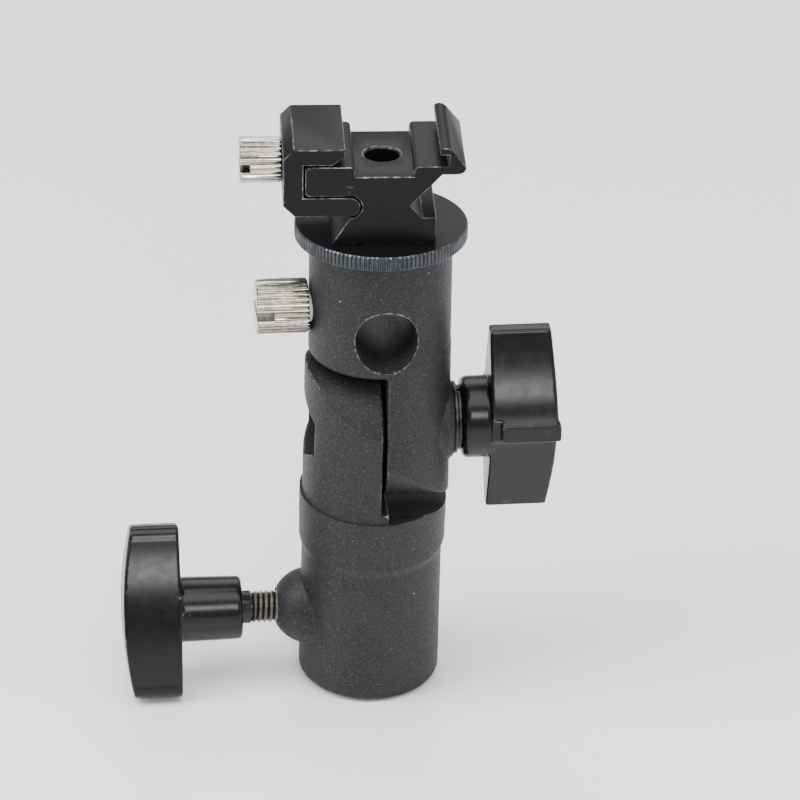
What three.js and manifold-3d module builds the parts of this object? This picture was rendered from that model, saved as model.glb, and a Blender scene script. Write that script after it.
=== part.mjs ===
// Umbrella swivel bracket: a stand socket and a tilting head on one pivot bolt, with an umbrella hole
// through the head and a clamping accessory shoe on top.
// Millimetres, +Z up. The origin is the centre of the socket's mouth; +X points along the pivot bolt
// to the wing knob, and -Y is the front.
import * as THREE from "three";
import { mergeVertices } from "three/addons/utils/BufferGeometryUtils.js";
import Module from "manifold-3d";

const wasm = await Module();
wasm.setup();

// ---------- Driving dimensions ----------
const runGap = 0.3; // clearance round shafts and between pieces that move past each other
const seatGap = 0.1; // clearance between faces that are pressed together by a screw

// Castings
const bodyRadius = 12.5; // head barrel
const rimProud = 0.25; // socket at its mouth over the head barrel
const rimRound = 0.5;
const collarProud = 0.6; // collar radius over the head barrel
const collarHeight = 10;
const cheekProud = 0.2; // cheeks' outer faces beyond the body's
const pivotHeight = 52.8; // pivot axis over the socket's mouth
const cheekRound = 13.3; // radius of both cheeks' round ends about the pivot
const slitLeft = 0.2; // inner face of the socket's cheek
const slitWidth = 0.75;
const troughDrop = 2.7; // floor of the trough under the head cheek's lowest point
const troughRadius = 27;
const ledgeWidth = 1.4;
const ledgeRise = 1.85;
const collarDrop = 0.8; // collar's top under the cheeks' round ends
const headRoof = 9.8; // head's top face over the umbrella hole
const headEdge = 0.4;
const shelfGap = 0.5; // underside of the head's barrel over the cheeks' round ends
const shelfRound = 1.2;
const headTilt = 6.5; // degrees that the head leans back
const headOffset = 0.65; // head barrel's axis from the socket's axis, towards the wing knob

// Stand socket and its clamp
const boreRadius = 8.25; // takes a 16 mm spigot
const boreRoof = 6.8; // casting between the bore and the trough
const boreChamfer = 0.6;
const clampHeight = 12.9;
const domeRadius = 7;
const domeInset = 1.8; // the dome's centre, inside the socket's wall
const clampScrewRadius = 3; // M6
const clampHubRadius = 5.75;
const clampHubLength = 11.1;
const clampHubDraft = 0.2; // hub's radius gained towards the bar
const clampHubEdge = 0.5;
const clampReach = 5.5; // bare thread between the dome and the hub
const barLength = 31.6;
const barThickness = 10.6;
const barBow = 2; // thinning of the bar towards each end, on each face
const barWidth = 10.5;
const barCrown = 1.7;
const barRound = 2.4;
const barTurn = 26; // degrees that the bar leans back

// Pivot bolt, washers and wing knob
const boltRadius = 3; // M6
const boltHeadAcross = 10; // across its flats
const boltHeadHeight = 4;
const pocketFloor = 5.5; // distance of the hex pocket's floor from the socket's axis
const spotRadius = 6.85;
const spotProud = 0.55; // spot face over the head barrel
const discRadius = 7;
const discSink = 0.6; // depth of the friction disc's seat in each cheek
const washerRadius = 6.5;
const washerThickness = 0.6;
const springRadius = 5.8;
const springThickness = 0.6;
const springSplit = 0.8;
const hubRadius = 7.35;
const hubRound = 1;
const hubLength = 4.9;
const wingSpan = 35.6;
const wingWidth = 12;
const wingCrown = 1.1;
const wingTip = 2.8; // thickness of a wing at its tip
const wingRoot = 7; // plain face from the knob's mid-plane beside the ridge
const ridgeReach = 9.8;
const ridgeTop = 2.8; // front ridge's upper edge over the knob's axis
const ridgeHeight = 3.3;
const ridgeDepth = 2.4;
const ridgeStart = 1.6; // ridge's inner end from the wings' inner face
const ridgeProud = 0.7; // ridge's outer end beyond the wings' crown
const wingTurn = 5; // degrees that the upper wing leans back
const insertWall = 1.2;
const insertLength = 11.5;

// Umbrella hole and its thumbscrew
const umbrellaRadius = 5.2;
const umbrellaFloor = 2.3; // casting under the umbrella hole
const umbrellaBevel = 0.6;
const thumbRise = 2; // thumbscrew over the umbrella hole's axis
const thumbRadius = 4.85;
const thumbLength = 9.2;
const thumbScrewRadius = 3; // M6
const thumbSlotWidth = 1.8;
const thumbSlotDepth = 3;
const padLength = 2;
const padInset = 0.4; // pad's radius under its screw's
const padStemRadius = 1.1;
const padStemLength = 2.2;
const padReach = 3.2; // pad's face from the head's axis

// Shoe, its stud and its lock disc
const studRadius = 3.1; // 1/4 inch
const studRise = 8.2; // stud inside the shoe
const lockRadius = 15.2;
const lockThickness = 2.7;
const shoeLength = 19.3;
const shoeTurn = 3.2; // degrees that the shoe is turned on its stud
const shoeBaseHalf = 9.05;
const shoeBaseHeight = 4.95;
const shoeFloor = 12.74;
const recessDepth = 1.86;
const recessHalf = 5.1;
const shelfBlend = 1;
const lipInner = 9.45;
const undercutDepth = 11.1;
const undercutHeight = 2.1; // takes a foot 2 mm thick
const lipRise = 3.5; // lip's top over the shelf
const lipOuter = 14.1;
const lipRound = 1.4;
const lipUnder = 0.3; // underside of the lip's wall over the recess's floor
const neckFoot = 6.65; // half width of the neck where it meets the base
const neckHalf = 4.55; // half width of the neck at its narrowest
const neckRise = 2.25; // narrowest place over the base
const neckReach = 10; // end of the neck's slanted flank
const tongueEnd = 13.7;
const tongueUnder = 9.1;
const grooveCentre = 5.9; // centre of the groove's round end
const jawWall = 3.5;
const jawRise = 3.3; // jaw's top over the shelf
const jawHook = 6.8; // tip of the jaw's hook from the shoe's axis
const jawChamfer = 1.8;
const hookBevel = 2.2; // bevel under the hook's tip
const hookRise = 1.6;
const jawHeadRadius = 4.05;
const jawHeadLength = 7.2;
const jawScrewRadius = 2; // M4
const jawScrewBite = 5; // thread inside the tongue
const jawSlotWidth = 1.4;
const jawSlotDepth = 1.8;
const screwEdge = 0.3; // chamfer on a thumbscrew's outer end

// ---------- Places worked out from them ----------
const rimRadius = bodyRadius + rimProud;
const cheekRadius = bodyRadius + cheekProud;
const collarRadius = bodyRadius + collarProud;
const collarTop = pivotHeight - cheekRound - collarDrop;
const collarStart = collarTop - collarHeight;
const slitRight = slitLeft + slitWidth;
const troughFloor = pivotHeight - cheekRound - troughDrop;
const boreDepth = troughFloor - boreRoof;
const shelfHeight = cheekRound + shelfGap;
const umbrellaHeight = shelfHeight + umbrellaFloor + umbrellaRadius;
const headLength = umbrellaHeight + umbrellaRadius + headRoof;
const domeCentre = rimRadius - domeInset;
const domeTip = domeCentre + domeRadius;
const clampHubStart = domeTip + clampReach;
const barStart = clampHubStart + clampHubLength;
const pocketHalf = boltHeadAcross / 2 + seatGap;
const spotFace = headOffset + bodyRadius + spotProud;
const washerStart = spotFace + seatGap;
const springStart = washerStart + washerThickness + seatGap;
const hubStart = springStart + springThickness + seatGap;
const wingStart = hubStart + hubLength;
const insertRadius = boltRadius + insertWall;
const insertStart = hubStart + runGap;
const insertEnd = insertStart + insertLength;
const boltEnd = insertEnd - runGap;
const thumbHeight = umbrellaHeight + thumbRise;
const thumbStart = bodyRadius + runGap;
const padBack = padReach + padLength;
const thumbScrewEnd = padBack + seatGap;
const studBottom = umbrellaHeight + umbrellaRadius + umbrellaBevel + runGap;
const lockStart = headLength + seatGap * 2;
const shoeBottom = lockStart + lockThickness + seatGap;
const shoeShelf = shoeFloor + recessDepth;
const jawInner = tongueEnd + runGap;
const jawOuter = jawInner + jawWall;
const jawTop = shoeShelf + jawRise;
const jawScrewHeight = (tongueUnder + shoeShelf) / 2;
const grooveHalf = (tongueUnder - shoeBaseHeight) / 2;
const grooveMiddle = shoeBaseHeight + grooveHalf;
const armHalf = grooveHalf - runGap;

// ---------- Geometry helpers ----------
const radians = THREE.MathUtils.degToRad;

// A closed geometry as a solid that can be joined and cut.
function solid(geometry) {
  const bare = geometry.index ? geometry.toNonIndexed() : geometry.clone();
  bare.deleteAttribute("normal");
  bare.deleteAttribute("uv");
  const merged = mergeVertices(bare, 1e-4);
  return new wasm.Manifold(
    new wasm.Mesh({
      numProp: 3,
      vertProperties: merged.attributes.position.array,
      triVerts: new Uint32Array(merged.index.array),
    }),
  );
}

// A solid back as a geometry with flat faces.
function geometryOf(body) {
  const mesh = body.getMesh();
  const geometry = new THREE.BufferGeometry();
  geometry.setAttribute("position", new THREE.BufferAttribute(mesh.vertProperties, 3));
  geometry.setIndex(new THREE.BufferAttribute(mesh.triVerts, 1));
  const flat = geometry.toNonIndexed();
  flat.computeVertexNormals();
  return flat;
}

// Turns a geometry made along Y so that it lies along the named axis.
function along(geometry, axis) {
  if (axis === "z") return geometry.rotateX(Math.PI / 2);
  if (axis === "x") return geometry.rotateZ(-Math.PI / 2);
  return geometry;
}

// A turned piece: [radius, distance along the axis] from its low end to its high end.
function turned(profile, axis, centre = [0, 0, 0], segments = 48) {
  const points = profile.map(([radius, height]) => new THREE.Vector2(radius, height));
  return solid(along(new THREE.LatheGeometry(points, segments), axis).translate(...centre));
}

// A plain round bar from low to high along an axis through the centre.
function bar(radius, low, high, axis, centre, segments) {
  return turned([[0, low], [radius, low], [radius, high], [0, high]], axis, centre, segments);
}

function block(low, high) {
  const size = high.map((value, i) => value - low[i]);
  const middle = high.map((value, i) => (value + low[i]) / 2);
  return solid(new THREE.BoxGeometry(...size).translate(...middle));
}

// An outline pushed along X (drawn in Y, Z) or along Y (drawn in X, Z).
function prism(outline, low, high, axis, curveSegments = 8) {
  const geometry = new THREE.ExtrudeGeometry(outline, {
    depth: high - low,
    bevelEnabled: false,
    curveSegments,
  });
  const [x, y, z] = [new THREE.Vector3(1, 0, 0), new THREE.Vector3(0, 1, 0), new THREE.Vector3(0, 0, 1)];
  const frame = new THREE.Matrix4();
  if (axis === "x") frame.makeBasis(y, z, x).setPosition(low, 0, 0);
  else frame.makeBasis(x, z, y.clone().negate()).setPosition(0, high, 0);
  return solid(geometry.applyMatrix4(frame));
}

function outlineOf(points) {
  return new THREE.Shape(points.map(([u, v]) => new THREE.Vector2(u, v)));
}

function hexagon(halfAcross) {
  const corner = halfAcross / Math.cos(Math.PI / 6);
  return outlineOf(
    Array.from({ length: 6 }, (_, i) => {
      const angle = Math.PI / 2 + (i * Math.PI) / 3;
      return [corner * Math.cos(angle), corner * Math.sin(angle)];
    }),
  );
}

// A slotted thumbscrew along -X: its head starts at headStart and its thread ends at threadEnd.
function slottedScrew({ headStart, headRadius, headLength: length, threadRadius, threadEnd, slotWidth, slotDepth }) {
  const headEnd = headStart + length;
  const screw = turned(
    [
      [0, -headEnd],
      [headRadius - screwEdge, -headEnd],
      [headRadius, -headEnd + screwEdge],
      [headRadius, -headStart],
      [threadRadius, -headStart],
      [threadRadius, -threadEnd],
      [0, -threadEnd],
    ],
    "x",
    [0, 0, 0],
    32,
  );
  const slot = block(
    [-headEnd - 1, -headRadius - 1, -slotWidth / 2],
    [-headEnd + slotDepth, headRadius + 1, slotWidth / 2],
  );
  return screw.subtract(slot);
}

// ---------- Lower casting: stand socket, collar and left cheek ----------
function socketBody() {
  const far = 2 * bodyRadius;
  const barrel = turned(
    [
      [0, 0],
      [rimRadius - rimRound, 0],
      [rimRadius, rimRound],
      [bodyRadius + collarProud / 6, collarStart - collarProud * 3],
      [collarRadius, collarStart],
      [collarRadius, collarTop],
      [0, collarTop],
    ],
    "z",
  );
  const ledgeTop = collarTop + ledgeRise;
  const pivot = [0, 0, pivotHeight];
  const column = bar(cheekRadius, boreDepth, pivotHeight + cheekRound + 1, "z");
  const roundEnd = bar(cheekRound, -far, far, "x", pivot, 72)
    .add(block([-far, -far, 0], [far, far, pivotHeight]));
  const cheek = column.intersect(roundEnd).intersect(block([-far, -far, 0], [slitLeft, far, 2 * pivotHeight]));
  const trough = bar(troughRadius, slitLeft, far, "x", [0, 0, troughFloor + troughRadius], 96);
  const ledge = column
    .intersect(block([0, -far, troughFloor - 1], [slitLeft + ledgeWidth, far, ledgeTop]))
    .subtract(bar(cheekRound + runGap, -1, far, "x", pivot, 72));
  const dome = solid(new THREE.SphereGeometry(domeRadius, 32, 20).translate(-domeCentre, 0, clampHeight));
  const bore = turned(
    [
      [0, -1],
      [boreRadius + boreChamfer, -1],
      [boreRadius + boreChamfer, 0],
      [boreRadius, boreChamfer],
      [boreRadius, boreDepth],
      [0, boreDepth],
    ],
    "z",
  );
  const clampHole = bar(clampScrewRadius + runGap, -domeTip - 1, 0, "x", [0, 0, clampHeight], 32);
  const boltHole = bar(boltRadius + runGap, -far, far, "x", pivot, 32);
  const pocket = prism(hexagon(pocketHalf), -far, -pocketFloor, "x").translate(pivot);
  const discSeat = bar(discRadius + runGap, slitLeft - discSink, slitLeft + 1, "x", pivot);
  return barrel
    .subtract(trough)
    .add(cheek)
    .add(ledge)
    .add(dome)
    .subtract(bore)
    .subtract(clampHole)
    .subtract(boltHole)
    .subtract(pocket)
    .subtract(discSeat);
}

// ---------- Upper casting, about the pivot axis ----------
function headBody() {
  const far = 2 * bodyRadius;
  const inner = slitRight - headOffset;
  const barrel = turned(
    [
      [0, shelfHeight],
      [bodyRadius - shelfRound, shelfHeight],
      [bodyRadius - shelfRound * 0.3, shelfHeight + shelfRound * 0.3],
      [bodyRadius, shelfHeight + shelfRound],
      [bodyRadius, headLength - headEdge],
      [bodyRadius - headEdge, headLength],
      [0, headLength],
    ],
    "z",
  );
  const roundEnd = bar(cheekRound, -far, far, "x", [0, 0, 0], 72).add(block([-far, -far, 0], [far, far, headLength]));
  const cheek = bar(cheekRadius, -cheekRound - 1, shelfHeight + shelfRound * 2, "z")
    .intersect(roundEnd)
    .intersect(block([inner, -far, -far], [far, far, headLength]));
  const spot = bar(spotRadius, inner + discSink + 1, spotFace - headOffset, "x");
  const umbrellaHole = bar(umbrellaRadius, -far, far, "y", [0, 0, umbrellaHeight], 40);
  const bevel = turned(
    [
      [0, bodyRadius - umbrellaRadius],
      [umbrellaRadius, bodyRadius - umbrellaRadius / 3],
      [umbrellaRadius + umbrellaBevel, bodyRadius - umbrellaBevel / 2],
      [umbrellaRadius + umbrellaBevel, bodyRadius + 1],
      [0, bodyRadius + 1],
    ],
    "y",
    [0, 0, umbrellaHeight],
    40,
  );
  const thumbHole = bar(thumbScrewRadius + runGap, -far, 0, "x", [0, 0, thumbHeight], 32);
  const studHole = bar(studRadius + runGap, studBottom, headLength + 1, "z", [0, 0, 0], 32);
  const boltHole = bar(boltRadius + runGap, -far, far, "x", [0, 0, 0], 32);
  const discSeat = bar(discRadius + runGap, inner - 1, inner + discSink, "x");
  return barrel
    .add(cheek)
    .add(spot)
    .subtract(umbrellaHole)
    .subtract(bevel)
    .subtract(bevel.rotate([180, 0, 0]).translate([0, 0, 2 * umbrellaHeight]))
    .subtract(thumbHole)
    .subtract(studHole)
    .subtract(boltHole)
    .subtract(discSeat);
}

// ---------- Pivot hardware, about the pivot axis ----------
function pivotBolt() {
  const headEnd = pocketFloor + seatGap + boltHeadHeight;
  const shankStart = pocketFloor + seatGap;
  return prism(hexagon(boltHeadAcross / 2 - seatGap), -headEnd, -shankStart, "x")
    .add(bar(boltRadius, -headEnd + 1, boltEnd, "x", [0, 0, 0], 32));
}

function ring(outer, inner, low, high, segments = 40) {
  return bar(outer, low, high, "x", [0, 0, 0], segments).subtract(
    bar(inner, low - 1, high + 1, "x", [0, 0, 0], 32),
  );
}

function frictionDisc() {
  return ring(discRadius, boltRadius + runGap, slitLeft - discSink + seatGap, slitRight + discSink - seatGap);
}

function springWasher() {
  const high = springStart + springThickness;
  const split = block([springStart - 1, -springSplit / 2, 0], [high + 1, springSplit / 2, springRadius + 1]);
  return ring(springRadius, boltRadius + runGap, springStart, high).subtract(split);
}

// The wings' outline across the bolt, the same after half a turn: a hollowed front over a ridge,
// and a plain back that slants in to the tip.
function wingOutline() {
  const half = wingSpan / 2;
  const tip = wingTip / 2;
  const ridgeUnder = ridgeHeight - ridgeTop;
  const step = (ridgeReach - wingRoot) / 2;
  const shape = new THREE.Shape();
  const side = (s) => {
    shape.lineTo(-ridgeReach * s, ridgeTop * s);
    shape.quadraticCurveTo(-(ridgeReach * 0.4 + tip) * s, half * 0.36 * s, -tip * s, half * s);
    shape.lineTo(tip * s, half * s);
    shape.lineTo(wingRoot * s, (ridgeUnder + step) * s);
    shape.lineTo((wingRoot + step) * s, ridgeUnder * s);
    shape.lineTo(ridgeReach * s, ridgeUnder * s);
  };
  shape.moveTo(-ridgeReach, -ridgeUnder);
  side(1);
  side(-1);
  return shape;
}

function wingKnob() {
  const end = wingStart + wingWidth;
  const crown = turned(
    [
      [0, wingStart],
      [wingSpan * 0.6, wingStart],
      [wingSpan * 0.6, end - wingCrown * 1.4],
      [wingSpan * 0.5, end - wingCrown],
      [wingSpan * 0.25, end - wingCrown * 0.25],
      [0, end],
    ],
    "x",
  );
  const wings = prism(wingOutline(), wingStart, end, "x", 10).intersect(crown);
  const ridges = [1, -1].map((s) => {
    const across = [-ridgeReach * s, (ridgeDepth - ridgeReach) * s];
    const along = [ridgeTop * s, (ridgeTop - ridgeHeight) * s];
    return block(
      [wingStart + ridgeStart, Math.min(...across), Math.min(...along)],
      [end + ridgeProud, Math.max(...across), Math.max(...along)],
    );
  });
  const hub = turned(
    [
      [0, hubStart],
      [hubRadius - hubRound, hubStart],
      [hubRadius, hubStart + hubRound],
      [hubRadius, wingStart + 1],
      [0, wingStart + 1],
    ],
    "x",
    [0, 0, 0],
    40,
  );
  const pocket = bar(insertRadius + seatGap, hubStart - 1, insertEnd + seatGap, "x", [0, 0, 0], 32);
  return wings.add(ridges[0]).add(ridges[1]).add(hub).subtract(pocket);
}

function wingInsert() {
  return bar(insertRadius, insertStart, insertEnd, "x", [0, 0, 0], 32)
    .subtract(bar(boltRadius + runGap, insertStart - 1, insertEnd + 1, "x", [0, 0, 0], 32));
}

// ---------- Stand clamp, about its own screw's axis ----------
function clampScrew() {
  const inner = boreRadius + padLength / 2 + seatGap;
  const screw = bar(clampScrewRadius, -barStart, -inner, "x", [0, 0, 0], 32);
  const stemHole = bar(padStemRadius + runGap, -inner - padStemLength - runGap, 0, "x", [0, 0, 0], 20);
  return screw.subtract(stemHole);
}

function clampKnob() {
  const end = barStart + barWidth;
  const halfLength = barLength / 2;
  const halfThick = barThickness / 2;
  const outline = new THREE.Shape();
  outline.moveTo(-halfThick + barBow + barRound, -halfLength);
  outline.lineTo(halfThick - barBow - barRound, -halfLength);
  outline.quadraticCurveTo(halfThick - barBow, -halfLength, halfThick - barBow, -halfLength + barRound);
  outline.quadraticCurveTo(halfThick + barBow, 0, halfThick - barBow, halfLength - barRound);
  outline.quadraticCurveTo(halfThick - barBow, halfLength, halfThick - barBow - barRound, halfLength);
  outline.lineTo(-halfThick + barBow + barRound, halfLength);
  outline.quadraticCurveTo(-halfThick + barBow, halfLength, -halfThick + barBow, halfLength - barRound);
  outline.quadraticCurveTo(-halfThick - barBow, 0, -halfThick + barBow, -halfLength + barRound);
  outline.quadraticCurveTo(-halfThick + barBow, -halfLength, -halfThick + barBow + barRound, -halfLength);
  const side = new THREE.Shape();
  side.moveTo(-barStart, -barLength);
  side.lineTo(-barStart, barLength);
  side.lineTo(-end + barCrown * 4, barLength);
  side.quadraticCurveTo(-end - barCrown * 4, 0, -end + barCrown * 4, -barLength);
  const grip = prism(outline, -end - barCrown * 2, -barStart, "x").intersect(
    prism(side, -barThickness, barThickness, "y", 16),
  );
  const hub = turned(
    [
      [0, -barStart - 1],
      [halfThick - barBow, -barStart - 1],
      [halfThick - barBow, -barStart],
      [clampHubRadius + clampHubDraft, -barStart],
      [clampHubRadius, -clampHubStart - clampHubEdge],
      [clampHubRadius - clampHubEdge, -clampHubStart],
      [0, -clampHubStart],
    ],
    "x",
    [0, 0, 0],
    40,
  );
  const hole = bar(clampScrewRadius + seatGap, -barStart - seatGap, 0, "x", [0, 0, 0], 32);
  return grip.add(hub).subtract(hole);
}

// A pressure pad on a stem that sits in its screw's end; its face is at faceDistance on the -X side.
function pressurePad(faceDistance, length, radius) {
  const back = faceDistance + length;
  return turned(
    [
      [0, -back - seatGap - padStemLength],
      [padStemRadius, -back - seatGap - padStemLength],
      [padStemRadius, -back],
      [radius, -back],
      [radius, -faceDistance],
      [0, -faceDistance],
    ],
    "x",
    [0, 0, 0],
    24,
  );
}

// ---------- Umbrella thumbscrew, about its own axis ----------
function umbrellaScrew() {
  const stemHole = bar(padStemRadius + runGap, -thumbScrewEnd - padStemLength - runGap, 0, "x", [0, 0, 0], 20);
  return slottedScrew({
    headStart: thumbStart,
    headRadius: thumbRadius,
    headLength: thumbLength,
    threadRadius: thumbScrewRadius,
    threadEnd: thumbScrewEnd,
    slotWidth: thumbSlotWidth,
    slotDepth: thumbSlotDepth,
  }).subtract(stemHole);
}

// ---------- Shoe, about the head's axis, from the shoe's underside ----------
function shoeBase() {
  const outline = new THREE.Shape();
  const lipLow = shoeFloor + lipUnder;
  const lipTop = shoeShelf + lipRise;
  outline.moveTo(-shoeBaseHalf, 0);
  outline.lineTo(shoeBaseHalf, 0);
  outline.lineTo(shoeBaseHalf, shoeBaseHeight);
  outline.lineTo(neckFoot, shoeBaseHeight);
  outline.lineTo(neckHalf, shoeBaseHeight + neckRise);
  outline.lineTo(neckReach, lipLow);
  outline.lineTo(lipOuter - lipRound, lipLow);
  outline.quadraticCurveTo(lipOuter, lipLow, lipOuter, lipLow + lipRound);
  outline.lineTo(undercutDepth, lipTop);
  outline.lineTo(lipInner, lipTop);
  outline.lineTo(lipInner, shoeShelf + undercutHeight);
  outline.lineTo(undercutDepth, shoeShelf + undercutHeight);
  outline.lineTo(undercutDepth, shoeShelf);
  outline.lineTo(recessHalf + shelfBlend, shoeShelf);
  outline.quadraticCurveTo(recessHalf, shoeShelf, recessHalf, shoeShelf - shelfBlend);
  outline.lineTo(recessHalf, shoeFloor);
  outline.lineTo(-recessHalf, shoeFloor);
  outline.lineTo(-recessHalf, shoeShelf - shelfBlend);
  outline.quadraticCurveTo(-recessHalf, shoeShelf, -recessHalf - shelfBlend, shoeShelf);
  outline.lineTo(-tongueEnd, shoeShelf);
  outline.lineTo(-tongueEnd, tongueUnder);
  outline.lineTo(-grooveCentre, tongueUnder);
  outline.absarc(-grooveCentre, grooveMiddle, grooveHalf, Math.PI / 2, -Math.PI / 2, true);
  outline.lineTo(-shoeBaseHalf, shoeBaseHeight);
  const half = shoeLength / 2;
  return prism(outline, -half, half, "y", 6)
    .subtract(bar(studRadius + runGap, -1, shoeShelf, "z", [0, 0, 0], 32))
    .subtract(bar(jawScrewRadius + runGap, -jawOuter, -jawInner + jawScrewBite + 1, "x", [0, 0, jawScrewHeight], 24));
}

function shoeJaw() {
  const outline = new THREE.Shape();
  const hookUnder = shoeShelf + runGap;
  const armLow = grooveMiddle - armHalf;
  const armHigh = grooveMiddle + armHalf;
  outline.moveTo(-jawOuter, armLow + jawChamfer);
  outline.lineTo(-jawOuter + jawChamfer, armLow);
  outline.lineTo(-grooveCentre, armLow);
  outline.absarc(-grooveCentre, grooveMiddle, armHalf, -Math.PI / 2, Math.PI / 2, false);
  outline.lineTo(-jawInner, armHigh);
  outline.lineTo(-jawInner, hookUnder);
  outline.lineTo(-jawHook - hookBevel, hookUnder);
  outline.lineTo(-jawHook, hookUnder + hookRise);
  outline.lineTo(-jawHook, jawTop);
  outline.lineTo(-jawOuter + jawChamfer, jawTop);
  outline.lineTo(-jawOuter, jawTop - jawChamfer);
  const half = shoeLength / 2;
  return prism(outline, -half, half, "y", 6)
    .subtract(bar(jawScrewRadius + runGap, -jawOuter - 1, -jawInner + 1, "x", [0, 0, jawScrewHeight], 24));
}

function jawScrew() {
  return slottedScrew({
    headStart: jawOuter + seatGap,
    headRadius: jawHeadRadius,
    headLength: jawHeadLength,
    threadRadius: jawScrewRadius,
    threadEnd: jawInner - jawScrewBite,
    slotWidth: jawSlotWidth,
    slotDepth: jawSlotDepth,
  });
}

function lockDisc() {
  return bar(lockRadius, lockStart, lockStart + lockThickness, "z", [0, 0, 0], 72)
    .subtract(bar(studRadius + runGap, lockStart - 1, shoeBottom + 1, "z", [0, 0, 0], 32));
}

// ---------- Finishes ----------
const finish = (color, roughness, metalness) => new THREE.MeshStandardMaterial({ color, roughness, metalness });
const powderCoat = finish(0x4a4b4c, 0.75, 0.1);
const anodised = finish(0x3a3d41, 0.45, 0.6);
const plastic = finish(0x2c3134, 0.35, 0);
const blackSteel = finish(0x2a2b2d, 0.4, 0.8);
const zincSteel = finish(0x9a9c9e, 0.35, 0.9);
const nickel = finish(0xcfc8bb, 0.3, 0.9);
const brass = finish(0xb08d4a, 0.35, 0.9);
const nylon = finish(0xd8d6cc, 0.6, 0);
const fibre = finish(0x3b3026, 0.85, 0);

// ---------- Assembly ----------
const bracket = new THREE.Group();

function place(parent, name, body, material) {
  const mesh = new THREE.Mesh(geometryOf(body), material);
  mesh.name = name;
  parent.add(mesh);
}

function groupAt(parent, [x, y, z], turnX = 0, turnZ = 0) {
  const group = new THREE.Group();
  group.position.set(x, y, z);
  group.rotation.set(radians(turnX), 0, radians(turnZ));
  parent.add(group);
  return group;
}

place(bracket, "socket_body", socketBody(), powderCoat);

const pivot = groupAt(bracket, [0, 0, pivotHeight]);
place(pivot, "pivot_bolt", pivotBolt(), blackSteel);
place(pivot, "friction_disc", frictionDisc(), fibre);
const washerEnd = washerStart + washerThickness;
place(pivot, "pivot_washer", ring(washerRadius, boltRadius + runGap, washerStart, washerEnd), blackSteel);
place(pivot, "spring_washer", springWasher(), blackSteel);

const wing = groupAt(pivot, [0, 0, 0], -wingTurn);
place(wing, "wing_knob", wingKnob(), plastic);
place(wing, "wing_knob_insert", wingInsert(), zincSteel);

const clamp = groupAt(bracket, [0, 0, clampHeight], -barTurn);
place(clamp, "clamp_screw", clampScrew(), blackSteel);
place(clamp, "clamp_knob", clampKnob(), plastic);
place(clamp, "clamp_pad", pressurePad(boreRadius, padLength / 2, clampScrewRadius - padInset), brass);

const head = groupAt(pivot, [headOffset, 0, 0], -headTilt);
place(head, "head_body", headBody(), powderCoat);
const studTop = shoeBottom + studRise;
place(head, "shoe_stud", bar(studRadius, studBottom + seatGap, studTop, "z", [0, 0, 0], 32), blackSteel);
place(head, "lock_disc", lockDisc(), anodised);

const thumb = groupAt(head, [0, 0, thumbHeight]);
place(thumb, "umbrella_screw", umbrellaScrew(), nickel);
place(thumb, "umbrella_screw_pad", pressurePad(padReach, padLength, thumbScrewRadius - padInset), nylon);

const shoe = groupAt(head, [0, 0, shoeBottom], 0, -shoeTurn);
place(shoe, "shoe_base", shoeBase(), anodised);
place(shoe, "shoe_jaw", shoeJaw(), anodised);

const jawAxis = groupAt(shoe, [0, 0, jawScrewHeight]);
place(jawAxis, "jaw_screw", jawScrew(), nickel);

export default bracket;
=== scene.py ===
"""Looks of the umbrella swivel bracket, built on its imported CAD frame.

Shapes are made in millimetres about each group's own axis, then moved to the row frame in metres.
"""

import math

import bmesh
import bpy
import numpy as np
from mathutils import Matrix, Vector


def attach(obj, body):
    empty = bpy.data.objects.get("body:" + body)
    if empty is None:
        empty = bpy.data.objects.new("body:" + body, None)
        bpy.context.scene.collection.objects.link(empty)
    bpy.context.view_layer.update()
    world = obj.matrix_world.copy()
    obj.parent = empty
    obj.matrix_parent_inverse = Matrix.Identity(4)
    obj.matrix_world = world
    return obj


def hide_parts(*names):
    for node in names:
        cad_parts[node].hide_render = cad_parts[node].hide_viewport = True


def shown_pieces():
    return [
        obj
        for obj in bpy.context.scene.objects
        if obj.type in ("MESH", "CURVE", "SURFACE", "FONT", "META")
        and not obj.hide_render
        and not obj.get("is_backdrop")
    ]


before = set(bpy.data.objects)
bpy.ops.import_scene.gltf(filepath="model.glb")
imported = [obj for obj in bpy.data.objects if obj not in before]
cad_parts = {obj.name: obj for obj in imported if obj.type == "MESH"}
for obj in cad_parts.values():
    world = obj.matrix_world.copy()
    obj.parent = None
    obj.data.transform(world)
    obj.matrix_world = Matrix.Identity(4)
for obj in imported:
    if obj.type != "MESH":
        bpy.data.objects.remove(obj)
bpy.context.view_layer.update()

# ---------- Sizes that several shapes share, in millimetres ----------

PIVOT_HEIGHT = 52.8
CHEEK_ROUND = 13.3  # radius of the cheeks' round ends about the pivot
CHEEK_RADIUS = 12.7  # radius of their outer faces about the socket's axis
SLIT = (0.2, 0.95)  # the gap between the cheeks
DISC_SEAT = 7.3  # radius of the friction disc's seat in each cheek
BARREL = 12.6
BORE = 8.25  # the socket's, for a 16 mm spigot
CLAMP_HEIGHT = 12.9
UMBRELLA_HOLE = 5.2
THUMBSCREW_HEIGHT = 23.3
M6_HOLE = 3.3
STUD_HOLE = 3.4
SHOE_HALF = 9.65  # half the length of the shoe and its jaw along the groove
GROOVE_END = (-5.9, 7.025)  # centre of the round end of the groove for the jaw's arm
GROOVE_ROUND, ARM_ROUND = 2.075, 1.775  # half heights of the groove and of the arm in it
JAW_SCREW_HEIGHT = 11.85
JAW_SCREW_HOLE = 2.3
FAR = 30  # beyond every edge, for tools that cut right through

# Degrees between faces above which an edge is shown as sharp
SHARP_CAST = 38
SHARP_TURNED = 30
SHARP_KNURL = 35
SHARP_WASHER = 40
SHARP_MILLED = 22

# ---------- Places ----------


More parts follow.
